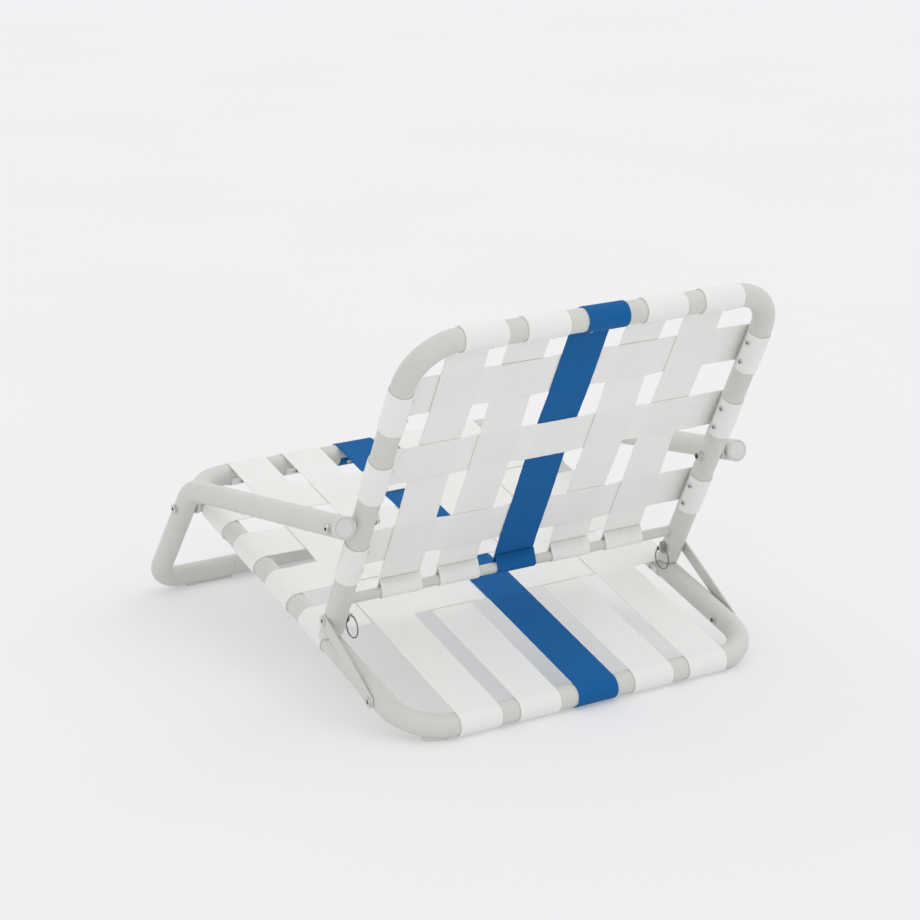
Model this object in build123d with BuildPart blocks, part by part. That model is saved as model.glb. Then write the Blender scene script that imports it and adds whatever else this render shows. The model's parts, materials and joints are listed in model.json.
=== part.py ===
"""Low folding beach chair: bent tube frames, four pivots a side, and woven webbing.

The origin is on the floor, below the middle of the chair. +X is the sitter's left,
-Y is the front and +Z is up. All lengths are in millimetres.
"""
from build123d import *
from math import atan2, cos, degrees, hypot, radians, sin, sqrt
import os

# ---- tube frames ---------------------------------------------------------------
tube_d = 28.0
tube_wall = 1.2
corner_r = 60.0  # bend radius of the seat's rear and the back's corners, on the axis
seat_front_r = 48.0  # bend radius of the seat's front corners
side_spacing = 500.0  # between the axes of the left and right side tubes
seat_length = 603.0  # front to rear axis of the seat loop
seat_slope = 14.1  # degrees, down to the rear
back_length = 467.0  # from the seat tube's axis to the back's top axis
back_lean = 62.8  # degrees above level, leaning rearward
arm_gap = 5.0  # free gap between a side tube and the arm beside it
leg_slope = 52.6  # degrees below level, down to the front
leg_above_pivot = 37.8  # from the seat pivot up the leg to the arm's corner
arm_bend_r = 50.0
foot_bend_r = 36.0
arm_past_pivot = 10.0  # tube beyond the arm's rear pivot
glide_t = 2.2

# ---- pivots ----------------------------------------------------------------------
seat_pivot_back = 57.5  # front cross tube to the leg's pivot, along the seat
back_foot_back = 339.8  # leg's pivot to the back's foot, along the seat
link_pin_up = 38.0  # foot to the link's pin, up the back
arm_pivot_up = 200.2  # foot to the arm's pivot, up the back
folded_gap = 36.0  # between the seat's and the folded back's axis planes
bolt_d = 6.0
pin_d = 6.0
running = 0.05  # radial clearance round a shaft that turns
fixed = 0.1  # clearance round a fastener or a strap that stays put

# ---- links, rod and hardware -------------------------------------------------------
link_w = 16.0
link_t = 2.8
rod_d = 13.0
rod_up = 62.7  # foot to the back's bottom rod, up the back
rod_forward = 5.0
head_d = 12.0
pin_head_d = 12.0
ring_r = 14.0
ring_wire_d = 1.6
ring_lean = 22.0  # rearward of straight down, where the ring rests on the webbing's edge
cap_d = 28.6
cap_t = 5.0

# ---- webbing -----------------------------------------------------------------------
web_w = 57.0
web_t = 1.4
strap_count = 5
strap_pitch = 82.0
weave_gap = 0.3  # between a lengthwise strap and the cross straps under it
wrap_angle = 275.0  # round a tube, from where the strap leaves its flat run
screw_angle = 256.0
screw_offset = 15.0  # each side of a strap's middle
screw_d = 3.4
seat_cross_first = 46.0  # leg's pivot to the first cross strap's middle
seat_cross_pitch = 90.0
seat_cross_count = 4
back_cross_from_top = (93.0, 200.0, 331.0)
ramp = 6.0  # a lengthwise strap is fully raised this far before a cross strap

# ---- worked out --------------------------------------------------------------------
tube_r = tube_d / 2
side_x = side_spacing / 2
arm_x = side_x + tube_d + arm_gap
face_in = side_x - tube_r  # inner side of a side tube
face_out = side_x + tube_r  # outer side of a side tube
arm_in = arm_x - tube_r
arm_out = arm_x + tube_r
floor_axis = glide_t + tube_r  # height of the two tubes that stand on the floor
wrap_in = tube_r + fixed
wrap_out = wrap_in + web_t
raised_at = wrap_out + weave_gap  # underside of the raised part of a strap

seat_c, seat_s = cos(radians(seat_slope)), sin(radians(seat_slope))
back_c, back_s = cos(radians(back_lean)), sin(radians(back_lean))
leg_c, leg_s = cos(radians(leg_slope)), sin(radians(leg_slope))

pivot_z = floor_axis + (seat_length - seat_pivot_back) * seat_s
foot_reach = (pivot_z - floor_axis) / leg_s  # down the leg, from pivot to foot axis

# The chair's depth runs from the front foot tube to the wrapped top tube.
front_y = -foot_reach * leg_c - tube_r
rear_y = back_foot_back * seat_c + back_length * back_c + wrap_out
pivot_y = -(front_y + rear_y) / 2


def seat_point(along, up=0.0):
    """A side-view point (y, z), measured from the leg's pivot along and above the seat."""
    y = pivot_y + along * seat_c + up * seat_s
    return y, pivot_z - along * seat_s + up * seat_c


def back_point(up, forward=0.0):
    """A side-view point (y, z), measured from the back's foot up and in front of the back."""
    y, z = seat_point(back_foot_back)
    return y + up * back_c - forward * back_s, z + up * back_s + forward * back_c


def leg_point(down):
    """A side-view point (y, z) down the leg's axis from its pivot."""
    return pivot_y - down * leg_c, pivot_z - down * leg_s


def link_seat_pivot():
    """How far behind the leg's pivot the link is held, so that the linkage folds flat."""
    between = radians(seat_slope + back_lean)
    pin = (back_foot_back + link_pin_up * cos(between), link_pin_up * sin(between))
    arm = (back_foot_back + arm_pivot_up * cos(between), arm_pivot_up * sin(between))
    arm_reach = hypot(*arm)
    folded_pin = sqrt(arm_reach**2 - folded_gap**2) + arm_pivot_up - link_pin_up
    spare = folded_pin**2 + folded_gap**2 - pin[0] ** 2 - pin[1] ** 2
    return spare / (2 * (folded_pin - pin[0]))


link_back = link_seat_pivot()
leg_pivot = seat_point(0)
link_pivot = seat_point(link_back)
link_pin = back_point(link_pin_up)
arm_pivot = back_point(arm_pivot_up)
arm_corner = leg_point(-leg_above_pivot)
foot_axis = leg_point(foot_reach)
arm_run = hypot(arm_pivot[0] - arm_corner[0], arm_pivot[1] - arm_corner[1])
arm_dir = ((arm_pivot[0] - arm_corner[0]) / arm_run, (arm_pivot[1] - arm_corner[1]) / arm_run)
arm_end = (arm_pivot[0] + arm_dir[0] * arm_past_pivot, arm_pivot[1] + arm_dir[1] * arm_past_pivot)

seat_front = -seat_pivot_back
seat_rear = seat_length - seat_pivot_back
seat_joint = seat_cross_first + 2 * seat_cross_pitch  # hidden by the third cross strap
strap_xs = [(i - (strap_count - 1) / 2) * strap_pitch for i in range(strap_count)]
seat_crosses = [seat_cross_first + i * seat_cross_pitch for i in range(seat_cross_count)]
back_crosses = [back_length - down for down in back_cross_from_top]

# The seat's and the back's own planes, and side views of each with up as local +Y.
seat_top = Plane(origin=(0, *leg_pivot), x_dir=(1, 0, 0), z_dir=(0, seat_s, seat_c))
back_face = Plane(origin=(0, *back_point(0)), x_dir=(1, 0, 0), z_dir=(0, -back_s, back_c))


def seat_side(x):
    y, z = seat_point(seat_front)
    return Plane(origin=(x, y, z), x_dir=(0, seat_c, -seat_s), z_dir=(1, 0, 0))


def back_side(x):
    y, z = back_point(rod_up)
    return Plane(origin=(x, y, z), x_dir=(0, back_c, back_s), z_dir=(1, 0, 0))


def seat_section(along):
    y, z = seat_point(along)
    return Plane(origin=(0, y, z), x_dir=(1, 0, 0), z_dir=(0, -seat_c, seat_s))


def back_section(up):
    y, z = back_point(up)
    return Plane(origin=(0, y, z), x_dir=(1, 0, 0), z_dir=(0, -back_c, -back_s))


# ---- shapes used more than once ------------------------------------------------------
def bent_tube(axis, solid=False):
    """A round tube along an axis line, or the space inside its outer skin."""
    with BuildPart() as tube:
        with BuildSketch(Plane(origin=axis @ 0, z_dir=axis % 0)):
            Circle(tube_r)
            if not solid:
                Circle(tube_r - tube_wall, mode=Mode.SUBTRACT)
        sweep(path=axis)
    return tube.part


def disc(place, x_from, x_to, radius, mode=Mode.ADD):
    """A round piece along X between two distances, at a side-view point."""
    with BuildSketch(Plane.YZ.offset(x_from)) as outline:
        with Locations(place):
            Circle(radius)
    extrude(outline.sketch, amount=x_to - x_from, mode=mode)


def hex_nut(place, x_from, x_to, radius):
    with BuildSketch(Plane.YZ.offset(x_from)) as outline:
        with Locations(place):
            RegularPolygon(radius=radius, side_count=6)
    extrude(outline.sketch, amount=x_to - x_from)


def drill(places, radius, depth):
    """Round holes from each place's origin out along its normal."""
    for place in places:
        with BuildSketch(place) as hole:
            Circle(radius)
        extrude(hole.sketch, amount=depth, mode=Mode.SUBTRACT)


def belt(length, start, end, raised=None):
    """The edge view of a strap pulled round two round bars and run straight between them.

    start and end are each (height of the bar's axis, its radius). Between the two
    distances in raised the strap lies over the cross straps.
    """
    (start_up, start_r), (end_up, end_r) = start, end
    for grow in (0, web_t):
        low_a = (0, start_up + start_r + fixed + grow)
        low_b = (length, end_up + end_r + fixed + grow)
        middle = [(u, raised_at + grow) for u in raised or ()]
        CenterArc((0, start_up), start_r + fixed + grow, 90, wrap_angle)
        Polyline(low_a, *middle, low_b)
        CenterArc((length, end_up), end_r + fixed + grow, 90, -wrap_angle)
    for u, up, r, turn in ((0, start_up, start_r, 1), (length, end_up, end_r, -1)):
        tip = radians(90 + turn * wrap_angle)
        near, far = r + fixed, r + fixed + web_t
        Line(
            (u + near * cos(tip), up + near * sin(tip)),
            (u + far * cos(tip), up + far * sin(tip)),
        )


def strap(plane, length, start, end, raised=None, screws=()):
    """A flat strap whose edge view lies in the plane, with holes for its screws."""
    with BuildPart() as band:
        with BuildSketch(plane):
            with BuildLine():
                belt(length, start, end, raised)
            make_face()
        extrude(amount=web_w / 2, both=True)
        drill(screws, screw_d / 2 + fixed, wrap_out + 1)
    return band.part


def end_screws(plane, u, turn):
    """Where the two screws of a strap's end point out of the tube, as planes."""
    tip = radians(90 + turn * screw_angle)
    out = plane.to_local_coords(plane.origin) + Vector(cos(tip), sin(tip), 0)
    places = []
    for side in (-screw_offset, screw_offset):
        centre = plane.from_local_coords(Vector(u, 0, side))
        ahead = plane.from_local_coords(Vector(u, 0, side) + out)
        places.append(Plane(origin=centre, z_dir=ahead - centre))
    return places


def make_screws(places):
    """Round-headed screws standing on the webbing, one solid each."""
    inner = tube_r - tube_wall - 3
    with BuildPart() as one:
        with BuildSketch(Plane.XY.offset(inner)):
            Circle(screw_d / 2)
        extrude(amount=wrap_out + fixed - inner)
        with BuildSketch(Plane.XY.offset(wrap_out + fixed)):
            Circle(screw_d)
        extrude(amount=1.5)
        fillet(one.edges().group_by(Axis.Z)[-1], radius=0.9)
        with BuildSketch(Plane.XY.offset(wrap_out + fixed + 1.5)):
            Rectangle(3.2, 0.8)
            Rectangle(0.8, 3.2)
        extrude(amount=-0.7, mode=Mode.SUBTRACT)
    with BuildPart() as screws:
        with Locations(*places):
            add(one.part)
    return screws.part


def save(part, name):
    part.label = name
    export_step(part, f"parts/{name}.step")


os.makedirs("parts", exist_ok=True)

# ---- screw places, shared by the straps, the tubes and the screws themselves ---------
seat_strap_screws = {
    x: end_screws(seat_side(x), 0, 1) + end_screws(seat_side(x), seat_length, -1)
    for x in strap_xs
}
seat_cross_screws = {
    along: end_screws(seat_section(along), -side_x, 1)
    + end_screws(seat_section(along), side_x, -1)
    for along in seat_crosses
}
back_strap_screws = {
    x: end_screws(back_side(x), back_length - rod_up, -1) for x in strap_xs
}
back_cross_screws = {
    up: end_screws(back_section(up), -side_x, 1) + end_screws(back_section(up), side_x, -1)
    for up in back_crosses
}
seat_places = [
    p for group in (seat_strap_screws, seat_cross_screws) for v in group.values() for p in v
]
back_places = [
    p for group in (back_strap_screws, back_cross_screws) for v in group.values() for p in v
]

# ---- seat loop: two bent halves on inner sleeves --------------------------------------
def seat_half(along_end, radius):
    with BuildLine(seat_top) as axis:
        FilletPolyline(
            (side_x, seat_joint),
            (side_x, along_end),
            (-side_x, along_end),
            (-side_x, seat_joint),
            radius=radius,
        )
    return axis.line


with BuildPart() as seat_tube_front:
    add(bent_tube(seat_half(seat_front, seat_front_r)))
    drill(seat_places, screw_d / 2 + fixed, wrap_out)
    disc(leg_pivot, -arm_x, arm_x, bolt_d / 2 + fixed, Mode.SUBTRACT)
save(seat_tube_front.part, "seat_tube_front")

with BuildPart() as seat_tube_rear:
    add(bent_tube(seat_half(seat_rear, corner_r)))
    drill(seat_places, screw_d / 2 + fixed, wrap_out)
    disc(link_pivot, -arm_x, arm_x, pin_d / 2 + fixed, Mode.SUBTRACT)
save(seat_tube_rear.part, "seat_tube_rear")

sleeve_length = 46.0
with BuildPart() as seat_sleeves:
    y, z = seat_point(seat_joint)
    with BuildSketch(Plane(origin=(side_x, y, z), z_dir=(0, seat_c, -seat_s))):
        Circle(tube_r - tube_wall - fixed)
        Circle(tube_r - tube_wall - fixed - 1.5, mode=Mode.SUBTRACT)
    extrude(amount=sleeve_length / 2, both=True)
    mirror(about=Plane.YZ)
    drill(seat_places, screw_d / 2 + fixed, wrap_out)
save(seat_sleeves.part, "seat_sleeves")

# ---- glides under the two tubes that stand on the floor -------------------------------
glide_w = 10.0
glide_top = 8.0


def rear_corner(turn):
    """A point over the floor below the rear corner's axis, turned round its bend."""
    a = radians(turn)
    x = side_x - corner_r + corner_r * sin(a)
    return x, seat_point(seat_rear - corner_r + corner_r * cos(a))[0]


with BuildLine() as glide_path:
    ThreePointArc(rear_corner(16), rear_corner(26), rear_corner(36))
with BuildPart() as seat_glides:
    with BuildSketch():
        SlotArc(arc=glide_path.edges()[0], height=glide_w)
    extrude(amount=glide_top)
    add(bent_tube(seat_half(seat_rear, corner_r), solid=True), mode=Mode.SUBTRACT)
    mirror(about=Plane.YZ)
save(seat_glides.part, "seat_glides")

front_glide_from, front_glide_to = 170.0, 240.0
with BuildPart() as arm_glides:
    with BuildSketch():
        with Locations(((front_glide_from + front_glide_to) / 2, foot_axis[0])):
            SlotOverall(front_glide_to - front_glide_from, glide_w)
    extrude(amount=glide_top)
    disc(foot_axis, 0, arm_x, tube_r, Mode.SUBTRACT)
    mirror(about=Plane.YZ)
save(arm_glides.part, "arm_glides")

# ---- webbing of the seat ---------------------------------------------------------------
tube_bar = (0, tube_r)
seat_raised = (
    seat_crosses[0] - web_w / 2 - ramp - seat_front,
    seat_crosses[-1] + web_w / 2 + ramp - seat_front,
)
for number, x in enumerate(strap_xs, 1):
    band = strap(seat_side(x), seat_length, tube_bar, tube_bar, seat_raised, seat_strap_screws[x])
    save(band, f"seat_strap_{number}")


def cross_strap(section, screws):
    """A strap from side tube to side tube, under the raised lengthwise straps."""
    start = Plane(origin=section.from_local_coords(Vector(-side_x, 0, 0)), x_dir=(1, 0, 0), z_dir=section.z_dir)
    return strap(start, side_spacing, tube_bar, tube_bar, screws=screws)


for number, along in enumerate(seat_crosses, 1):
    band = cross_strap(seat_section(along), seat_cross_screws[along])
    save(band, f"seat_cross_{number}")
save(make_screws(seat_places), "seat_screws")

# ---- back: bent tube, bottom rod, feet ----------------------------------------------------
tube_foot = 20.0  # the back tube starts this far above the seat tube's axis
with BuildLine(back_face) as back_axis:
    FilletPolyline(
        (side_x, tube_foot),
        (side_x, back_length),
        (-side_x, back_length),
        (-side_x, tube_foot),
        radius=corner_r,
    )
with BuildPart() as back_tube:
    add(bent_tube(back_axis.line))
    drill(back_places, screw_d / 2 + fixed, wrap_out)
    disc(link_pin, -arm_x, arm_x, pin_d / 2 + running, Mode.SUBTRACT)
    disc(arm_pivot, -arm_x, arm_x, bolt_d / 2 + fixed, Mode.SUBTRACT)
save(back_tube.part, "back_tube")


def round_bar(plane, radius, length, mode=Mode.ADD):
    with BuildSketch(plane) as outline:
        Circle(radius)
    extrude(outline.sketch, amount=length, mode=mode)


def side_tube_start(x, up=0.0):
    return Plane(origin=(x, *back_point(up)), z_dir=(0, back_c, back_s))


with BuildPart() as back_rod:
    disc(back_point(rod_up, rod_forward), -side_x, side_x, rod_d / 2)
    for x in (-side_x, side_x):
        round_bar(side_tube_start(x), tube_r + running, back_length / 2, Mode.SUBTRACT)
save(back_rod.part, "back_rod")

saddle_r = wrap_out + fixed
with BuildPart() as back_feet:
    round_bar(side_tube_start(side_x, 4), tube_r, tube_foot - 4)
    round_bar(side_tube_start(side_x, tube_foot), tube_r - tube_wall - fixed, 12)
    y, z = seat_point(0)
    seat_tube_line = Plane(origin=(side_x, y, z), z_dir=(0, seat_c, -seat_s))
    round_bar(seat_tube_line, saddle_r, seat_rear, Mode.SUBTRACT)
    # The inner half stops above the last cross strap, which runs level from the tube's top.
    with BuildSketch(seat_section(seat_rear)):
        with Locations((side_x - tube_d / 2, 0)):
            Rectangle(tube_d, 2 * saddle_r)
    extrude(amount=seat_length, mode=Mode.SUBTRACT)
    mirror(about=Plane.YZ)
save(back_feet.part, "back_feet")

# ---- webbing of the back --------------------------------------------------------------------
rod_bar = (rod_forward, rod_d / 2)
back_raised = (
    back_crosses[-1] - web_w / 2 - ramp - rod_up,
    back_crosses[0] + web_w / 2 + ramp - rod_up,
)
for number, x in enumerate(strap_xs, 1):
    run = back_length - rod_up
    band = strap(back_side(x), run, rod_bar, tube_bar, back_raised, back_strap_screws[x])
    save(band, f"back_strap_{number}")
for number, up in enumerate(back_crosses, 1):
    save(cross_strap(back_section(up), back_cross_screws[up]), f"back_cross_{number}")
save(make_screws(back_places), "back_screws")

# ---- arms and front legs: one bent tube, open at the rear of each arm ------------------------
with BuildLine() as arm_axis:
    FilletPolyline(
        (arm_x, *arm_end),
        (arm_x, *arm_corner),
        (arm_x, *foot_axis),
        (-arm_x, *foot_axis),
        (-arm_x, *arm_corner),
        (-arm_x, *arm_end),
        radius=[arm_bend_r, foot_bend_r, foot_bend_r, arm_bend_r],
    )
with BuildPart() as arm_tube:
    add(bent_tube(arm_axis.line))
    disc(leg_pivot, -arm_out, arm_out, bolt_d / 2 + running, Mode.SUBTRACT)
    disc(arm_pivot, -arm_out, arm_out, bolt_d / 2 + fixed, Mode.SUBTRACT)
save(arm_tube.part, "arm_tube")

with BuildPart() as arm_end_caps:
    end_plane = Plane(origin=(arm_x, *arm_end), z_dir=(0, *arm_dir))
    round_bar(end_plane, cap_d / 2, cap_t)
    fillet(arm_end_caps.faces().sort_by(Axis.Y)[-1].edges(), radius=1.8)
    round_bar(end_plane, tube_r - tube_wall - fixed, -5)
    mirror(about=Plane.YZ)
save(arm_end_caps.part, "arm_end_caps")

# ---- leg pivots: a bolt through the arm tube, a spacer and the seat tube ---------------------
head_t = 3.2
nut_r = 5.8
nut_t = 4.0
washer_r = 6.5
washer_t = 1.5
socket_r = 2.5


def bolt_head(place, x_from):
    """A round head with a hexagon socket, at the outer end of a bolt."""
    disc(place, x_from, x_from + head_t, head_d / 2)
    with BuildSketch(Plane.YZ.offset(x_from + head_t)) as socket:
        with Locations(place):
            RegularPolygon(radius=socket_r, side_count=6)
    extrude(socket.sketch, amount=-2, mode=Mode.SUBTRACT)


with BuildPart() as leg_bolts:
    disc(leg_pivot, face_in - nut_t - 3, arm_out + running, bolt_d / 2)
    bolt_head(leg_pivot, arm_out + running)
    mirror(about=Plane.YZ)
save(leg_bolts.part, "leg_bolts")

with BuildPart() as leg_nuts:
    hex_nut(leg_pivot, face_in - fixed - nut_t, face_in - fixed, nut_r)
    disc(leg_pivot, face_in - 10, face_in, bolt_d / 2 + fixed, Mode.SUBTRACT)
    mirror(about=Plane.YZ)
save(leg_nuts.part, "leg_nuts")

with BuildPart() as leg_spacers:
    disc(leg_pivot, face_out + fixed, arm_in - fixed, 11)
    disc(leg_pivot, face_out, arm_in, bolt_d / 2 + fixed, Mode.SUBTRACT)
    mirror(about=Plane.YZ)
save(leg_spacers.part, "leg_spacers")

# ---- links: flat bars from the seat tube to the pins in the back -----------------------------
link_in = face_out + fixed
link_out = link_in + link_t
link_mid = ((link_pivot[0] + link_pin[0]) / 2, (link_pivot[1] + link_pin[1]) / 2)
link_rise, link_run = link_pivot[1] - link_pin[1], link_pivot[0] - link_pin[0]


def make_link(x_from):
    with BuildPart() as link:
        with BuildSketch(Plane.YZ.offset(x_from)):
            with Locations(link_mid):
                turn = degrees(atan2(link_rise, link_run))
                SlotCenterToCenter(hypot(link_rise, link_run), link_w, rotation=turn)
            with Locations(link_pivot, link_pin):
                Circle(pin_d / 2 + running, mode=Mode.SUBTRACT)
        extrude(amount=link_t)
        long_edges = link.edges().filter_by(GeomType.LINE).filter_by(Axis.X, reverse=True)
        chamfer(long_edges, length=0.5)
    return link.part


save(make_link(link_in), "link_left")
save(make_link(-link_out), "link_right")

rivet_head_t = 1.5
burr_r = 5.0
burr_t = 1.2
with BuildPart() as link_rivets:
    disc(link_pivot, face_in - burr_t - 1, link_out + running, pin_d / 2)
    disc(link_pivot, link_out + running, link_out + running + rivet_head_t, pin_head_d / 2)
    mirror(about=Plane.YZ)
save(link_rivets.part, "link_rivets")

with BuildPart() as link_burrs:
    disc(link_pivot, face_in - fixed - burr_t, face_in - fixed, burr_r)
    disc(link_pivot, face_in - 10, face_in, pin_d / 2 + fixed, Mode.SUBTRACT)
    mirror(about=Plane.YZ)
save(link_burrs.part, "link_burrs")

# ---- pins in the back, each kept in by a ring through its inner end ---------------------------
pin_end = face_in - 9.0
ring_x = face_in - 6.0
ring_drop = ring_r - 0.25
lean_c, lean_s = cos(radians(ring_lean)), sin(radians(ring_lean))
ring_hole_r = 1.5
pin_washer_r = 8.0


def make_pin(side):
    with BuildPart() as pin:
        disc(link_pin, pin_end, link_out + running, pin_d / 2)
        disc(link_pin, link_out + running, link_out + running + rivet_head_t, pin_head_d / 2)
        with BuildSketch(Plane(origin=(ring_x, *link_pin), z_dir=(0, lean_c, lean_s))):
            Circle(ring_hole_r)
        extrude(amount=pin_d, both=True, mode=Mode.SUBTRACT)
        if side < 0:
            mirror(about=Plane.YZ, mode=Mode.REPLACE)
    return pin.part


def make_ring(side):
    with BuildPart() as ring:
        y, z = link_pin
        centre = (side * ring_x, y + ring_drop * lean_s, z - ring_drop * lean_c)
        middle = Plane(origin=centre, x_dir=(0, 1, 0), z_dir=(1, 0, 0))
        with BuildSketch(Plane(middle.from_local_coords(Vector(ring_r, 0, 0)), x_dir=(0, 1, 0), z_dir=(0, 0, 1))):
            Circle(ring_wire_d / 2)
        revolve(axis=Axis(middle.origin, middle.z_dir))
    return ring.part


for name, side in (("left", 1), ("right", -1)):
    save(make_pin(side), f"link_pin_{name}")
    save(make_ring(side), f"pin_ring_{name}")

with BuildPart() as pin_washers:
    disc(link_pin, face_in - fixed - washer_t, face_in - fixed, pin_washer_r)
    disc(link_pin, face_in - 5, face_in, pin_d / 2 + running, Mode.SUBTRACT)
    mirror(about=Plane.YZ)
save(pin_washers.part, "pin_washers")

# ---- arm pivots, open in the middle of the gap: a stud on the arm, a stud on the back ----------
gap_middle = (face_out + arm_in) / 2
half_slit = 0.1
spacer_r = 9.0
with BuildPart() as arm_studs:
    disc(arm_pivot, gap_middle + half_slit, arm_out + fixed, bolt_d / 2)
    disc(arm_pivot, gap_middle + half_slit, arm_in - fixed, spacer_r)
    bolt_head(arm_pivot, arm_out + fixed)
    mirror(about=Plane.YZ)
save(arm_studs.part, "arm_studs")

with BuildPart() as back_studs:
    disc(arm_pivot, face_in - nut_t - washer_t - 1, gap_middle - half_slit, bolt_d / 2)
    disc(arm_pivot, face_out + fixed, gap_middle - half_slit, spacer_r)
    mirror(about=Plane.YZ)
save(back_studs.part, "back_studs")

with BuildPart() as back_nuts:
    nut_face = face_in - fixed - washer_t
    hex_nut(arm_pivot, nut_face - nut_t, nut_face, nut_r)
    disc(arm_pivot, nut_face, face_in - fixed, washer_r)
    disc(arm_pivot, nut_face - nut_t, face_in, bolt_d / 2 + fixed, Mode.SUBTRACT)
    mirror(about=Plane.YZ)
save(back_nuts.part, "back_nuts")
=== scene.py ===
"""Looks of the low folding beach chair: woven webbing on bent, powder-coated tube.

Lengths are in metres in the frame's own axes: +X is the sitter's left, -Y is the
front and +Z is up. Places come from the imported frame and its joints.
"""
import json
from math import acos, atan2, ceil, cos, degrees, hypot, pi, radians, sin

import bpy
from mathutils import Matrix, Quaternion, Vector


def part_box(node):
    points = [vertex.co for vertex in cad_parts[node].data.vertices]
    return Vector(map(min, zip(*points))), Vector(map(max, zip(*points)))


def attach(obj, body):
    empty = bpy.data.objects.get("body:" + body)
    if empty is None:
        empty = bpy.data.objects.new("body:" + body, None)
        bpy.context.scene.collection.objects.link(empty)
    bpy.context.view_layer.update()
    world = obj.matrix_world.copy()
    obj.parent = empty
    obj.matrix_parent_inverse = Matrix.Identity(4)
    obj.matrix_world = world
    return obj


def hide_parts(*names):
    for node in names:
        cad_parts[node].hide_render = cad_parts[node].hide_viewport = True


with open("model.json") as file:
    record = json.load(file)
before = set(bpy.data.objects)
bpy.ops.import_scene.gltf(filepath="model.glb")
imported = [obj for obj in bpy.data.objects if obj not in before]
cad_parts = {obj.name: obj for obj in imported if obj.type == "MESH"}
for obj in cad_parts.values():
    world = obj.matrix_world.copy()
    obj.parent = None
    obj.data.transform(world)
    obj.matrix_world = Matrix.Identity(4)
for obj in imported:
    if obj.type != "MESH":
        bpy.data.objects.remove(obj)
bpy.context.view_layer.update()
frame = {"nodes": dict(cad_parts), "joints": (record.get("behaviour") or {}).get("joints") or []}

# ---- sizes shared with the frame's design ----------------------------------------------
TUBE_R = 0.014
SIDE_X = 0.250  # middle plane to a side tube's axis
WEB_W = 0.057
WEB_T = 0.0014
CLEAR = 0.0001  # between webbing and the tube that it wraps
PITCH = 0.082
STRAP_XS = [(i - 2) * PITCH for i in range(5)]
BLUE_STRAP = 3
SEAT_FRONT = -0.0575  # from the leg's pivot along the seat to the front tube's axis
SEAT_LENGTH = 0.603
SEAT_CROSSES = [0.046 + 0.090 * i for i in range(4)]
BACK_LENGTH = 0.467
BACK_CROSSES = [BACK_LENGTH - down for down in (0.093, 0.200, 0.331)]
PIN_UP = 0.038  # back's foot to the link's pin
ROD_UP = 0.0627
ROD_FORWARD = 0.005
ROD_R = 0.0065

# ---- webbing ---------------------------------------------------------------------------
WRAP_ANGLE = 278.0  # round a tube, from where the strap leaves its flat run
HEM_UP = 0.016  # the bottom hem's cut end, above the rod's axis
LAP = 0.0016  # between the middles of two layers that lie on each other
WEAVE = 0.0008  # a strap's middle stands this far in front of or behind the weave's middle
RUN_STEP = 0.006
ARC_STEP = 6.0
SPANS = 10  # across the strap's flat part
SELVEDGE_SWELL = 0.06  # share of the strap's thickness
WAVER = 0.00035  # a laid strap wanders this far sideways
WAVER_RATE = 9.0
WAVER_PHASE = 1.7  # from each strap to the next
SELVEDGE_WAVER = 0.00012
SELVEDGE_RATE = 310.0
SELVEDGE_PHASE = 2.1  # between a strap's two edges
SELVEDGE_FROM = 0.026
WEAVE_SHIFT = 0.37  # along the weave, from each strap to the next
ROW_PITCH = 0.0019  # of the weave, along and across
END_PITCH = 0.0016

# ---- places ----------------------------------------------------------------------------
X_AXIS = Vector((1, 0, 0))
places = {j["name"]: Vector(j["pos_m"]) for j in frame["joints"]}
leg_pivot = places["arm_fold"]
link_pivot = places["link_swing"]
link_pin = places["back_fold"]
arm_pivot = sum(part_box("arm_studs"), Vector()) / 2

seat_along = (link_pivot - leg_pivot).normalized()
seat_up = X_AXIS.cross(seat_along)
back_along = (arm_pivot - link_pin).normalized()
back_front = X_AXIS.cross(back_along)
back_foot = link_pin - back_along * PIN_UP


# ---- node materials --------------------------------------------------------------------
def new_material(name, **constants):
    """A Principled material with some sockets set, its node tree and its shader."""
    material = bpy.data.materials.new(name)
    material.use_nodes = True
    tree = material.node_tree
    shader = tree.nodes["Principled BSDF"]
    for socket, value in constants.items():
        shader.inputs[socket.replace("_", " ").title().replace("Ior", "IOR")].default_value = value
    return material, tree, shader


def node(tree, kind, inputs=None, **settings):
    """A new node, with settings on the node and values or links on its inputs."""
    made = tree.nodes.new(kind)
    for key, value in settings.items():
        setattr(made, key, value)
    for key, value in (inputs or {}).items():
        if isinstance(value, bpy.types.NodeSocket):
            tree.links.new(value, made.inputs[key])
        else:
            made.inputs[key].default_value = value
    return made


def math_node(tree, operation, a, b=0.0):
    return node(tree, "ShaderNodeMath", {0: a, 1: b}, operation=operation).outputs[0]


def noise(tree, vector, scale, detail, roughness=0.5):
    inputs = {"Vector": vector, "Scale": scale, "Detail": detail, "Roughness": roughness}
    return node(tree, "ShaderNodeTexNoise", inputs).outputs["Fac"]


def ramp(tree, factor, stops):
    """A colour ramp through (position, colour) stops."""
    made = node(tree, "ShaderNodeValToRGB", {"Fac": factor})
    elements = made.color_ramp.elements
    while len(elements) < len(stops):
        elements.new(0.5)
    for element, (position, colour) in zip(elements, stops):
        element.position = position
        element.color = (*colour, 1.0)
    return made.outputs["Color"]


def multiplied(tree, a, b):
    """Two colours multiplied, channel by channel."""
    inputs = {"Factor": 1.0, "A": a, "B": b}
    mix = node(tree, "ShaderNodeMix", inputs, data_type="RGBA", blend_type="MULTIPLY")
    return mix.outputs[2]


def scaled(tree, factor, low, high):
    """factor from 0..1 mapped to low..high."""
    inputs = {"Value": factor, "To Min": low, "To Max": high}
    return node(tree, "ShaderNodeMapRange", inputs).outputs["Result"]


def object_position(tree):
    return node(tree, "ShaderNodeTexCoord").outputs["Object"]


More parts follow.
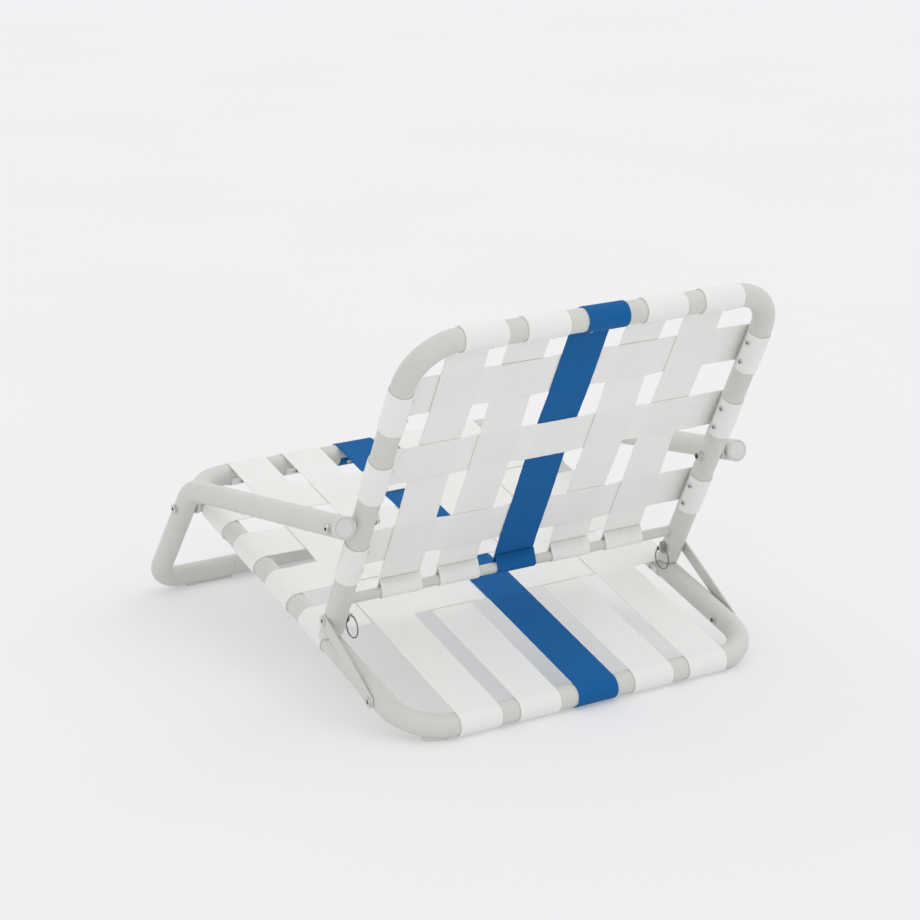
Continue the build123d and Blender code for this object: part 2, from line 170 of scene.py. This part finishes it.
def bump(tree, height, distance, strength):
    inputs = {"Height": height, "Distance": distance, "Strength": strength}
    return node(tree, "ShaderNodeBump", inputs).outputs["Normal"]


def shade(colour, factor):
    return tuple(c * factor for c in colour)


def powder_coat(name, colour):
    """Satin powder coat: fine orange peel, faint tone drift and handling marks."""
    material, tree, shader = new_material(name, specular_ior_level=0.45)
    position = object_position(tree)
    peel = noise(tree, position, 750.0, 2.5, 0.55)
    drift = noise(tree, position, 14.0, 3.0)
    marks = noise(tree, position, 60.0, 6.0, 0.7)
    tone = ramp(tree, drift, [(0.30, shade(colour, 0.955)), (0.70, colour)])
    speck = ramp(tree, marks, [(0.34, (0.93, 0.925, 0.91)), (0.42, (1.0, 1.0, 1.0))])
    tree.links.new(multiplied(tree, tone, speck), shader.inputs["Base Color"])
    tree.links.new(scaled(tree, marks, 0.34, 0.56), shader.inputs["Roughness"])
    tree.links.new(bump(tree, peel, 0.00012, 0.35), shader.inputs["Normal"])
    return material


def webbing(name, colour, through):
    """Woven polyester webbing: plain weave in the strap's own along and across lengths."""
    material, tree, shader = new_material(
        name, roughness=0.8, specular_ior_level=0.15, sheen_weight=0.03, sheen_roughness=0.5,
        subsurface_weight=through, subsurface_scale=0.003, subsurface_radius=(1.0, 1.0, 1.0),
    )
    lie = node(tree, "ShaderNodeAttribute", attribute_name="strap_lie")
    parts = node(tree, "ShaderNodeSeparateXYZ", {0: lie.outputs["Vector"]})
    along, across = parts.outputs[0], parts.outputs[1]
    rows = math_node(tree, "SINE", math_node(tree, "MULTIPLY", along, 2 * pi / ROW_PITCH))
    ends = math_node(tree, "SINE", math_node(tree, "MULTIPLY", across, 2 * pi / END_PITCH))
    knots = math_node(tree, "MULTIPLY", rows, ends)
    fibres = noise(tree, lie.outputs["Vector"], 2600.0, 2.0)
    height = math_node(tree, "ADD", math_node(tree, "MULTIPLY", knots, 0.5), fibres)
    inputs = {0: lie.outputs["Vector"], 1: (12.0, 420.0, 1.0)}
    stretched = node(tree, "ShaderNodeVectorMath", inputs, operation="MULTIPLY").outputs[0]
    streaks = noise(tree, stretched, 1.0, 3.0, 0.6)
    cloud = noise(tree, object_position(tree), 22.0, 3.0)
    tone = ramp(tree, streaks, [(0.25, shade(colour, 0.985)), (0.75, colour)])
    clouded = ramp(tree, cloud, [(0.3, (0.98, 0.98, 0.977)), (0.7, (1.0, 1.0, 1.0))])
    # painted shade: the weave's low points, where the bump is lowest, come out darker
    pit_shade = ramp(tree, scaled(tree, knots, 0.0, 1.0), [(0.0, (0.965, 0.965, 0.965)), (0.6, (1.0, 1.0, 1.0))])
    mixed = multiplied(tree, multiplied(tree, tone, clouded), pit_shade)
    tree.links.new(mixed, shader.inputs["Base Color"])
    tree.links.new(bump(tree, height, 0.00018, 0.5), shader.inputs["Normal"])
    return material


def plated_steel(name, colour, low, high):
    """Plated steel: a fine grain in its gloss and duller patches."""
    material, tree, shader = new_material(name, metallic=1.0)
    position = object_position(tree)
    grain = noise(tree, position, 1500.0, 3.0, 0.7)
    patches = noise(tree, position, 180.0, 4.0)
    tone = ramp(tree, patches, [(0.3, shade(colour, 0.72)), (0.7, colour)])
    tree.links.new(tone, shader.inputs["Base Color"])
    tree.links.new(scaled(tree, grain, low, high), shader.inputs["Roughness"])
    tree.links.new(bump(tree, grain, 0.00006, 0.4), shader.inputs["Normal"])
    return material


def moulded_plastic(name, colour):
    """Moulded nylon with a fine spark-eroded texture."""
    material, tree, shader = new_material(name, specular_ior_level=0.4)
    position = object_position(tree)
    grain = noise(tree, position, 1100.0, 3.0, 0.6)
    drift = noise(tree, position, 35.0, 3.0)
    tone = ramp(tree, drift, [(0.3, shade(colour, 0.94)), (0.7, colour)])
    tree.links.new(tone, shader.inputs["Base Color"])
    tree.links.new(scaled(tree, drift, 0.42, 0.58), shader.inputs["Roughness"])
    tree.links.new(bump(tree, grain, 0.0001, 0.4), shader.inputs["Normal"])
    return material


PAINT = (0.648, 0.653, 0.613)
WHITE = (0.888, 0.890, 0.858)
BLUE = (0.006, 0.118, 0.350)

paint = powder_coat("powder_coat", PAINT)
white_web = webbing("white_webbing", WHITE, 0.1)
blue_web = webbing("blue_webbing", BLUE, 0.05)
steel = plated_steel("zinc_steel", (0.74, 0.74, 0.72), 0.26, 0.44)
# a darker steel, for the washers on the pins
darker_steel = plated_steel("darker_steel", (0.42, 0.42, 0.41), 0.26, 0.46)
# painted shade: near-black steel laid where shade falls in sockets, recesses and pin ends
painted_shade_steel = plated_steel("painted_shade_steel", (0.045, 0.045, 0.045), 0.45, 0.65)
dark_steel = plated_steel("spring_steel", (0.26, 0.26, 0.25), 0.25, 0.45)
cap_plastic = moulded_plastic("cap_plastic", (0.70, 0.705, 0.68))
glide_plastic = moulded_plastic("glide_plastic", (0.66, 0.665, 0.63))


# ---- CAD nodes that stay, each with its finish -----------------------------------------
CAD_CREASE = 32.0
WELD = 1e-6


def finish_node(name, material):
    """Gives a CAD node its material and smooth shading with sharp creases."""
    piece = frame["nodes"][name]
    piece.data.materials.clear()
    piece.data.materials.append(material)
    for face in piece.data.polygons:
        face.use_smooth = True
    weld = piece.modifiers.new("weld", "WELD")
    weld.merge_threshold = WELD
    split = piece.modifiers.new("creases", "EDGE_SPLIT")
    split.split_angle = radians(CAD_CREASE)


FINISHES = (
    (paint, ("seat_tube_front", "seat_tube_rear", "back_tube", "back_rod", "arm_tube")),
    (paint, ("link_left", "link_right")),
    (steel, ("leg_bolts", "leg_nuts", "arm_studs", "back_nuts", "link_burrs")),
    (darker_steel, ("pin_washers",)),
    (dark_steel, ("seat_sleeves",)),
    (cap_plastic, ("leg_spacers", "back_studs", "back_feet")),
    (glide_plastic, ("seat_glides", "arm_glides")),
)
for finish, names in FINISHES:
    for name in names:
        finish_node(name, finish)

SOCKET_R = 0.0027  # takes in the walls of a bolt's socket
SHANK_R = 0.0031  # takes in a shank's flat end


def darken_sockets(name, place):
    """Gives painted shade, a near-black steel, to the sockets and shank ends of a node's bolts."""
    piece = frame["nodes"][name]
    piece.data.materials.append(painted_shade_steel)
    for face in piece.data.polygons:
        spot = piece.matrix_world @ face.center
        radius = hypot(spot.y - place.y, spot.z - place.z)
        faces_out = abs((piece.matrix_world.to_3x3() @ face.normal).x) > 0.9
        if radius < (SHANK_R if faces_out else SOCKET_R):
            face.material_index = 1


darken_sockets("leg_bolts", leg_pivot)
darken_sockets("arm_studs", arm_pivot)
darken_sockets("back_studs", arm_pivot)


# ---- mesh building ---------------------------------------------------------------------
def new_piece(name, points, faces, material, smooth=True):
    mesh = bpy.data.meshes.new(name)
    mesh.from_pydata(points, [], faces)
    mesh.materials.append(material)
    for face in mesh.polygons:
        face.use_smooth = smooth
    piece = bpy.data.objects.new(name, mesh)
    bpy.context.scene.collection.objects.link(piece)
    return piece


def loft(rings):
    """Faces between rings of equal size, with flat ends."""
    size = len(rings[0])
    points = [p for ring in rings for p in ring]
    faces = []
    for i in range(len(rings) - 1):
        a, b = i * size, (i + 1) * size
        for k in range(size):
            n = (k + 1) % size
            faces.append((a + k, a + n, b + n, b + k))
    faces.append(tuple(reversed(range(size))))
    faces.append(tuple(range((len(rings) - 1) * size, len(rings) * size)))
    return points, faces


# ---- straps ----------------------------------------------------------------------------
def ease(t):
    return t * t * (3 - 2 * t)


def weave_height(keys, u):
    """The height at u on a line through (distance, height) keys, eased between them."""
    for (u0, v0), (u1, v1) in zip(keys, keys[1:]):
        if u <= u1:
            return v0 + (v1 - v0) * ease(max(0.0, (u - u0) / (u1 - u0)))
    return keys[-1][1]


def arc(centre, radius, start, end):
    """Points on an arc between two angles in degrees, both ends included."""
    steps = ceil(abs(end - start) / ARC_STEP)
    angles = [radians(start + (end - start) * i / steps) for i in range(steps + 1)]
    return [(centre[0] + radius * cos(a), centre[1] + radius * sin(a)) for a in angles]


def hem_leave(tail, bar_v, bar_r):
    """The angle on a bar, in radians, where a hem's straight end leaves it."""
    reach = hypot(tail[0], tail[1] - bar_v)
    return atan2(tail[1] - bar_v, tail[0]) - acos(bar_r / reach)


def middle_line(length, start, end, over, hem=False):
    """A strap's edge view: round one bar, through the weave, round the other.

    start and end are each (height of the bar's axis, its radius). over lists
    (distance, side) for each crossing, with side +1 on top and -1 below.
    """
    (start_v, start_r), (end_v, end_r) = ((v, r + CLEAR + WEB_T / 2) for v, r in (start, end))
    middle = TUBE_R + CLEAR + WEB_T / 2
    keys = [(0.0, start_v + start_r)]
    for u, side in sorted(over):
        keys += [(u - WEB_W / 2, middle + side * WEAVE), (u + WEB_W / 2, middle + side * WEAVE)]
    keys.append((length, end_v + end_r))
    if hem:
        tail = (HEM_UP, weave_height(keys, HEM_UP) - LAP)
        leave = degrees(hem_leave(tail, start_v, start_r)) + 360
        line = [tail] + arc((0.0, start_v), start_r, leave, 90)
    else:
        line = arc((0.0, start_v), start_r, 90 + WRAP_ANGLE, 90)
    steps = ceil(length / RUN_STEP)
    for i in range(1, steps):
        u = length * i / steps
        line.append((u, weave_height(keys, u)))
    return line + arc((length, end_v), end_r, 90, 90 - WRAP_ANGLE)


def web_section():
    """The strap's section as (across, outward) points, with thicker rounded selvedges."""
    half, t = WEB_W / 2, WEB_T / 2
    spans = [-1 + 2 * i / SPANS for i in range(SPANS + 1)]
    top = [(s * (half - 2.2 * t), t * (1.0 + SELVEDGE_SWELL * (abs(s) > 0.9))) for s in spans]
    turn = [(half - t + t * cos(a), t * sin(a)) for a in (pi / 3, pi / 6, 0, -pi / 6, -pi / 3)]
    right = top + turn
    return right + [(-w, -v) for w, v in right]


SECTION = web_section()


def strap(name, origin, along, up, line, material, number):
    """A closed band that follows a middle line, with its lie stored for the weave."""
    across = along.cross(up)
    rings, lies = [], []
    travelled = 0.0
    for i, (u, v) in enumerate(line):
        before, after = line[max(i - 1, 0)], line[min(i + 1, len(line) - 1)]
        tangent = Vector((after[0] - before[0], after[1] - before[1])).normalized()
        out = Vector((-tangent.y, tangent.x))
        if i:
            travelled += hypot(u - line[i - 1][0], v - line[i - 1][1])
        drift = WAVER * sin(WAVER_RATE * travelled + WAVER_PHASE * number)
        ring = []
        for w, t in SECTION:
            phase = number + (SELVEDGE_PHASE if w > 0 else 0.0)
            edge = SELVEDGE_WAVER * sin(SELVEDGE_RATE * travelled + phase)
            wide = w + drift + (edge if abs(w) > SELVEDGE_FROM else 0.0)
            ring.append(origin + along * (u + out.x * t) + up * (v + out.y * t) + across * wide)
            lies.append((travelled + WEAVE_SHIFT * number, w, 0.0))
        rings.append(ring)
    points, faces = loft(rings)
    piece = new_piece(name, points, faces, material)
    lie = piece.data.attributes.new("strap_lie", "FLOAT_VECTOR", "POINT")
    lie.data.foreach_set("vector", [c for p in lies for c in p])
    for end in (-2, -1):
        piece.data.polygons[end].use_smooth = False
    return piece, travelled


def lay_strap(cad_node, body, origin, along, up, line, number):
    """Builds the strap that stands for a CAD strap, hides that node and hangs the strap on its body."""
    blue = cad_node.startswith(("seat_strap", "back_strap")) and number == BLUE_STRAP
    material = blue_web if blue else white_web
    piece, length = strap(cad_node + "_web", origin, along, up, line, material, number)
    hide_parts(cad_node)
    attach(piece, body)


def weave_side(i, j):
    """+1 where lengthwise strap i runs on the sitter's side of cross strap j."""
    return 1 if (i + j) % 2 else -1


TUBE_BAR = (0.0, TUBE_R)
ROD_BAR = (ROD_FORWARD, ROD_R)
NUMBERS = range(1, len(STRAP_XS) + 1)

seat_origin = leg_pivot + seat_along * SEAT_FRONT
for i, x in zip(NUMBERS, STRAP_XS):
    over = [(u - SEAT_FRONT, weave_side(i, j)) for j, u in enumerate(SEAT_CROSSES, 1)]
    line = middle_line(SEAT_LENGTH, TUBE_BAR, TUBE_BAR, over)
    origin = seat_origin + X_AXIS * x
    lay_strap(f"seat_strap_{i}", "seat_frame", origin, seat_along, seat_up, line, i)
for j, u in enumerate(SEAT_CROSSES, 1):
    over = [(x + SIDE_X, -weave_side(i, j)) for i, x in zip(NUMBERS, STRAP_XS)]
    line = middle_line(2 * SIDE_X, TUBE_BAR, TUBE_BAR, over)
    origin = leg_pivot + seat_along * u - X_AXIS * SIDE_X
    lay_strap(f"seat_cross_{j}", "seat_frame", origin, X_AXIS, seat_up, line, j)

# The back's crossings are numbered from the top down.
for i, x in zip(NUMBERS, STRAP_XS):
    over = [(u - ROD_UP, weave_side(i, j)) for j, u in enumerate(BACK_CROSSES, 1)]
    line = middle_line(BACK_LENGTH - ROD_UP, ROD_BAR, TUBE_BAR, over, hem=True)
    origin = back_foot + back_along * ROD_UP + X_AXIS * x
    lay_strap(f"back_strap_{i}", "back", origin, back_along, back_front, line, i)
for j, u in enumerate(BACK_CROSSES, 1):
    over = [(x + SIDE_X, -weave_side(i, j)) for i, x in zip(NUMBERS, STRAP_XS)]
    line = middle_line(2 * SIDE_X, TUBE_BAR, TUBE_BAR, over)
    origin = back_foot + back_along * u - X_AXIS * SIDE_X
    lay_strap(f"back_cross_{j}", "back", origin, X_AXIS, back_front, line, j)


# ---- turned pieces: screws, rivets, pins, end caps -------------------------------------
TURNED_CREASE = 38.0


def across_axis(axis):
    """Two directions square to an axis and to each other."""
    first = (X_AXIS if abs(axis.x) < 0.9 else Vector((0, 0, 1))).cross(axis).normalized()
    return first, axis.cross(first)


def turned(origin, axis, profile, sides):
    """Rings of a round piece, from (radius, height) points along its axis.

    A radius may be a function of the angle, for a recess that isn't round.
    """
    first, second = across_axis(axis)
    rings = []
    for radius, height in profile:
        ring = []
        for k in range(sides):
            a = 2 * pi * k / sides
            r = radius(a) if callable(radius) else radius
            ring.append(origin + axis * height + (first * cos(a) + second * sin(a)) * r)
        rings.append(ring)
    return loft(rings)


def joined(solids):
    """Several (points, faces) solids as one."""
    points, faces = [], []
    for some_points, some_faces in solids:
        start = len(points)
        points += some_points
        faces += [tuple(start + k for k in face) for face in some_faces]
    return points, faces


def darken(piece, rings, sides, bands):
    """Paints shade, with a near-black steel, on some bands of faces, counted along each turned solid."""
    piece.data.materials.append(painted_shade_steel)
    faces_each = (rings - 1) * sides + 2
    for face in piece.data.polygons:
        if face.index % faces_each // sides in bands:
            face.material_index = 1


def hardware(name, solids, material, body, slot, *nodes):
    """A piece made of turned solids that stands for CAD nodes."""
    piece = new_piece(name, *joined(solids), material)
    crease = piece.modifiers.new("creases", "EDGE_SPLIT")
    crease.split_angle = radians(TURNED_CREASE)
    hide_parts(*nodes)
    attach(piece, body)
    return piece


def rounded_edge(radius, height, bend, steps=4):
    """(radius, height) points round the outer top edge of a head."""
    turns = [pi / 2 * i / steps for i in range(steps + 1)]
    return [(radius - bend + bend * cos(a), height - bend + bend * sin(a)) for a in turns]


SCREW_HEAD_R = 0.0034
SCREW_HEAD_T = 0.0016
SCREW_SIDE = 0.015
SCREW_ANGLE = 256.0
SCREW_R = 0.0017
SCREW_LIFT = 0.00005  # of the head off the webbing
SCREW_REACH = 0.005  # of the shank into the tube, from its surface
SCREW_EDGE = 0.0011
SCREW_SLOT = ((0.0021, 0.0011, 0.0), (0.0017, 0.0008, 0.0008))  # slot, root, depth
SCREW_TIP_R = 0.0004
SCREW_TIP_DEPTH = 0.0016
SCREW_SIDES = 40
SCREW_RINGS = 11
# the bands of the cross recess that get painted shade
SCREW_RECESS = (8, 9, 10)


def cross_recess(slot_r, root_r):
    """The outline of a cross recess, as a radius at each angle."""
    return lambda a: root_r + (slot_r - root_r) * max(0.0, cos(4 * a)) ** 2


def screw(origin, out):
    """A pan-head screw with a cross recess, standing on the webbing of a tube."""
    seat = TUBE_R + CLEAR + WEB_T + SCREW_LIFT
    top = seat + SCREW_HEAD_T
    profile = [(SCREW_R, TUBE_R - SCREW_REACH), (SCREW_R, seat), (SCREW_HEAD_R, seat)]
    profile += rounded_edge(SCREW_HEAD_R, top, SCREW_EDGE)
    profile += [(cross_recess(slot, root), top - depth) for slot, root, depth in SCREW_SLOT]
    profile += [(SCREW_TIP_R, top - SCREW_TIP_DEPTH)]
    return turned(origin, out, profile, SCREW_SIDES)


def end_screws(origin, along, up, turn):
    """The two screws through a strap's end on the bar at origin."""
    tip = radians(90 + turn * SCREW_ANGLE)
    out = along * cos(tip) + up * sin(tip)
    across = along.cross(up)
    return [screw(origin + across * side, out) for side in (-SCREW_SIDE, SCREW_SIDE)]


seat_screws, back_screws = [], []
for x in STRAP_XS:
    front = seat_origin + X_AXIS * x
    seat_screws += end_screws(front, seat_along, seat_up, 1)
    seat_screws += end_screws(front + seat_along * SEAT_LENGTH, seat_along, seat_up, -1)
    top = back_foot + back_along * BACK_LENGTH + X_AXIS * x
    back_screws += end_screws(top, back_along, back_front, -1)
for turn in (1, -1):
    side = X_AXIS * SIDE_X * -turn
    for u in SEAT_CROSSES:
        seat_screws += end_screws(leg_pivot + seat_along * u + side, X_AXIS, seat_up, turn)
    for u in BACK_CROSSES:
        back_screws += end_screws(back_foot + back_along * u + side, X_AXIS, back_front, turn)
for end, body, solids in (("seat", "seat_frame", seat_screws), ("back", "back", back_screws)):
    screws = hardware(f"{end}_strap_screws", solids, steel, body, "steel", f"{end}_screws")
    darken(screws, SCREW_RINGS, SCREW_SIDES, SCREW_RECESS)


PIN_R = 0.003
PIN_HEAD_R = 0.006
PIN_HEAD_T = 0.0015
PIN_BEVEL = 0.0004
PIN_HEAD_BEVEL = 0.0003
PIN_HEAD_EDGE = 0.0008
DIMPLE_R = 0.0024
DIMPLE_RIM = 0.0005
DIMPLE_DEPTH = 0.0013
DIMPLE_DISH = 0.0002
PIN_SIDES = 48
PIN_RINGS = 15
# painted shade on the pins' inner end and on the wall of the dimple
PIN_DARK = (0, 12)  # the inner end, and the wall of the dimple


def pin_solid(place, side, inner, outer):
    """A pin along X from inner to outer, with its head at the outer end."""
    neck, dimple = outer - PIN_HEAD_T, outer - DIMPLE_DEPTH
    profile = [(PIN_BEVEL, inner), (PIN_R - PIN_BEVEL, inner), (PIN_R, inner + PIN_BEVEL)]
    profile += [(PIN_R, neck), (PIN_HEAD_R - PIN_HEAD_BEVEL, neck), (PIN_HEAD_R, neck + PIN_HEAD_BEVEL)]
    profile += rounded_edge(PIN_HEAD_R, outer, PIN_HEAD_EDGE)
    profile += [(DIMPLE_R + DIMPLE_RIM, outer), (DIMPLE_R, outer - PIN_BEVEL)]
    profile += [(DIMPLE_R - PIN_BEVEL, dimple), (PIN_BEVEL, dimple - DIMPLE_DISH)]
    return turned(Vector((0, place.y, place.z)), X_AXIS * side, profile, PIN_SIDES)


RIVET_PAST_BURR = 0.0022  # measured from the burr's outer face
rivet_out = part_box("link_rivets")[1].x
rivet_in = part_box("link_burrs")[1].x - RIVET_PAST_BURR
rivets = [pin_solid(link_pivot, side, rivet_in, rivet_out) for side in (1, -1)]
rivet_pair = hardware("link_rivet_pair", rivets, steel, "seat_frame", "steel", "link_rivets")
darken(rivet_pair, PIN_RINGS, PIN_SIDES, PIN_DARK)
for hand, side in (("left", 1), ("right", -1)):
    low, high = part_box(f"link_pin_{hand}")
    near, far = sorted((abs(low.x), abs(high.x)))
    solid = pin_solid(link_pin, side, near, far)
    pin = hardware(f"link_pin_turned_{hand}", [solid], steel, f"pin_{hand}", "steel", f"link_pin_{hand}")
    darken(pin, PIN_RINGS, PIN_SIDES, PIN_DARK)


RING_WIRE_R = 0.00055
RING_FLATNESS = 1.35  # the wire's width in the ring's plane, by its thickness
RING_TURNS = 1.94
RING_STEPS = 72  # to one turn
RING_SECTION = 10
RING_GAP = 1.05  # from one turn to the next, by the wire's thickness


def coil(centre, radius):
    """A split ring in a plane square to X: flat wire wound closely for some turns."""
    steps = int(RING_STEPS * RING_TURNS)
    rings = []
    for i in range(steps + 1):
        a = 2 * pi * RING_TURNS * i / steps - pi / 2
        shift = (i / steps - 0.5) * (RING_TURNS - 1) * 2 * RING_WIRE_R * RING_GAP
        out = Vector((0, cos(a), sin(a)))
        core = centre + X_AXIS * shift + out * radius
        ring = []
        for k in range(RING_SECTION):
            b = 2 * pi * k / RING_SECTION
            wide, thick = RING_FLATNESS * RING_WIRE_R * cos(b), RING_WIRE_R * sin(b)
            ring.append(core + out * wide + X_AXIS * thick)
        rings.append(ring)
    return loft(rings)


for hand in ("left", "right"):
    low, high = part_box(f"pin_ring_{hand}")
    ring = coil((low + high) / 2, (high.z - low.z) / 2 - RING_FLATNESS * RING_WIRE_R)
    hardware(f"split_ring_{hand}", [ring], dark_steel, f"pin_{hand}", "steel", f"pin_ring_{hand}")

LEG_ABOVE_PIVOT = 0.0378  # to where the leg's and the arm's axes would meet
ARM_PAST_PIVOT = 0.010
CAP_R = 0.0143
CAP_T = 0.005
CAP_EDGE = 0.0014
CAP_EDGE_STEPS = 6
CAP_BEVEL = 0.0003
CAP_RIM = 0.0004
CAP_PLUG_R = 0.0126
CAP_PLUG_LENGTH = 0.005
CAP_PLUG_TIP_R = 0.0110
CAP_MIDDLE_R = 0.0065
CAP_MIDDLE_RISE = 0.0001
CAP_CENTRE_R = 0.0004
CAP_SIDES = 96
CAP_GROOVE_R = 0.0121
CAP_GROOVE_W = 0.0007
CAP_GROOVE_T = 0.0008
tube_low, tube_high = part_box("arm_tube")
foot_axis = Vector((0, tube_low.y + TUBE_R, tube_low.z + TUBE_R))
arm_corner = leg_pivot + (leg_pivot - foot_axis).normalized() * LEG_ABOVE_PIVOT
arm_pivot_middle = Vector((0, arm_pivot.y, arm_pivot.z))
arm_out = (arm_pivot_middle - arm_corner).normalized()
arm_end = arm_pivot_middle + arm_out * ARM_PAST_PIVOT
arm_x = tube_high.x - TUBE_R


def end_cap(side):
    """A moulded cap: plug, rounded rim, and a face with a shallow ring and a raised middle."""
    groove_in, groove_floor = CAP_GROOVE_R - CAP_GROOVE_W, CAP_T - CAP_GROOVE_T
    tip, middle = -CAP_PLUG_LENGTH, CAP_T + CAP_MIDDLE_RISE
    profile = [(CAP_PLUG_TIP_R, tip), (CAP_PLUG_R, tip + CAP_RIM), (CAP_PLUG_R, 0.0)]
    profile += [(CAP_R - CAP_BEVEL, 0.0), (CAP_R, CAP_RIM)]
    profile += rounded_edge(CAP_R, CAP_T, CAP_EDGE, CAP_EDGE_STEPS)
    profile += [(CAP_GROOVE_R + CAP_BEVEL, CAP_T), (CAP_GROOVE_R, groove_floor)]
    profile += [(groove_in, groove_floor), (groove_in - CAP_BEVEL, CAP_T)]
    profile += [(CAP_MIDDLE_R, middle), (CAP_CENTRE_R, middle)]
    return turned(arm_end + X_AXIS * side * arm_x, arm_out, profile, CAP_SIDES)


hardware("arm_caps", [end_cap(1), end_cap(-1)], cap_plastic, "arm_frame", "plastic", "arm_end_caps")


# ---- stitching that closes the straps round the back's rod -----------------------------
STITCH = 0.0026
STITCH_PITCH = 0.0035
STITCH_R = 0.00027
STITCH_RISE = 0.00012  # in a stitch's middle
STITCH_STEPS = 6
STITCH_SIDES = 8
STITCH_MARGIN = 0.006  # both edges of the strap together
STITCH_SINK = 1.12  # share of half the webbing's thickness
HEM_ROWS = (HEM_UP - 0.0028, HEM_UP - 0.0060)


def stitch(start, end, lift):
    """One thread stitch: a short rounded run lifted off the cloth in its middle."""
    run = (end - start).normalized()
    first, second = across_axis(run)
    rings = []
    for i in range(STITCH_STEPS + 1):
        t = i / STITCH_STEPS
        swell = STITCH_R * max(0.25, sin(pi * t) ** 0.4)
        core = start.lerp(end, t) + lift * (sin(pi * t) * STITCH_RISE)
        turns = [2 * pi * k / STITCH_SIDES for k in range(STITCH_SIDES)]
        rings.append([core + (first * cos(b) + second * sin(b)) * swell for b in turns])
    return loft(rings)


def hem_stitches(x):
    """Two rows of stitches across a strap's hem, on its rear and its front."""
    solids = []
    count = int((WEB_W - STITCH_MARGIN) / STITCH_PITCH)
    bar_v, bar_r = ROD_FORWARD, ROD_R + CLEAR + WEB_T / 2
    front_v = bar_v + bar_r + WEB_T / 2
    tail = (HEM_UP, bar_v + bar_r - LAP)
    leave = hem_leave(tail, bar_v, bar_r)
    touch = (bar_r * cos(leave), bar_v + bar_r * sin(leave))
    for u in HEM_ROWS:
        share = (u - touch[0]) / (tail[0] - touch[0])
        rear_v = touch[1] + (tail[1] - touch[1]) * share - WEB_T / 2 * STITCH_SINK
        for v, lift in ((rear_v, -back_front), (front_v, back_front)):
            base = back_foot + back_along * (ROD_UP + u) + back_front * v
            for k in range(count):
                w = (k - (count - 1) / 2) * STITCH_PITCH
                middle = base + X_AXIS * (x + w)
                half = X_AXIS * (STITCH / 2)
                solids.append(stitch(middle - half, middle + half, lift))
    return solids


for colour, numbers, material in (("white", (1, 2, 4, 5), white_web), ("blue", (BLUE_STRAP,), blue_web)):
    solids = [s for i in numbers for s in hem_stitches(STRAP_XS[i - 1])]
    piece = new_piece(f"hem_stitches_{colour}", *joined(solids), material)
    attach(piece, "back")


# ---- camera, light and floor -----------------------------------------------------------
CAMERA_AZIMUTH = 148.69
CAMERA_ELEVATION = 17.41
CAMERA_ROLL = 0.27
CAMERA_DISTANCE = 3.154
CAMERA_LENS = 96.6
CAMERA_TARGET = Vector((0.0, 0.005, 0.226))

# The floor glows a little, so that the chair's shadow on it stays soft and light.
FLOOR_HALF = 20.0
FLOOR_TONES = ((0.595, 0.595, 0.606), (0.605, 0.605, 0.616))
FLOOR_GLOW_TINT = (0.995, 0.995, 1.0, 1.0)
FLOOR_GLOW = 0.27
SKY_TINT = (0.985, 0.99, 1.0, 1.0)
SKY_STRENGTH = 0.95
KEY_TOWARDS = (-0.75, 0.25, 1.0)
KEY_STRENGTH = 0.27
KEY_SPREAD = 38.0


def add_camera():
    a, e = radians(CAMERA_AZIMUTH), radians(CAMERA_ELEVATION)
    back = Vector((sin(a) * cos(e), -cos(a) * cos(e), sin(e)))
    data = bpy.data.cameras.new("camera")
    data.lens = CAMERA_LENS
    data.sensor_width = 36.0
    camera = bpy.data.objects.new("camera", data)
    camera.location = CAMERA_TARGET + back * CAMERA_DISTANCE
    aim = (-back).to_track_quat("-Z", "Y")
    aim.rotate(Quaternion(-back, radians(CAMERA_ROLL)))
    camera.rotation_mode = "QUATERNION"
    camera.rotation_quaternion = aim
    bpy.context.scene.collection.objects.link(camera)
    bpy.context.scene.camera = camera


def add_floor():
    half = FLOOR_HALF
    corners = [(-half, -half, 0), (half, -half, 0), (half, half, 0), (-half, half, 0)]
    material, tree, shader = new_material(
        "studio_floor", roughness=0.9, specular_ior_level=0.1,
        emission_color=FLOOR_GLOW_TINT, emission_strength=FLOOR_GLOW,
    )
    cloud = noise(tree, object_position(tree), 1.5, 3.0)
    tone = ramp(tree, cloud, [(0.3, FLOOR_TONES[0]), (0.7, FLOOR_TONES[1])])
    tree.links.new(tone, shader.inputs["Base Color"])
    floor = new_piece("studio_floor", corners, [(0, 1, 2, 3)], material, smooth=False)


def add_light():
    world = bpy.data.worlds.new("studio")
    world.use_nodes = True
    sky = world.node_tree.nodes["Background"]
    sky.inputs["Color"].default_value = SKY_TINT
    sky.inputs["Strength"].default_value = SKY_STRENGTH
    bpy.context.scene.world = world
    data = bpy.data.lights.new("key", "SUN")
    data.energy = KEY_STRENGTH
    data.angle = radians(KEY_SPREAD)
    key = bpy.data.objects.new("key", data)
    key.rotation_mode = "QUATERNION"
    key.rotation_quaternion = (-Vector(KEY_TOWARDS)).to_track_quat("-Z", "Y")
    bpy.context.scene.collection.objects.link(key)
    bpy.context.scene.view_settings.view_transform = "Standard"


add_camera()
add_floor()
add_light()
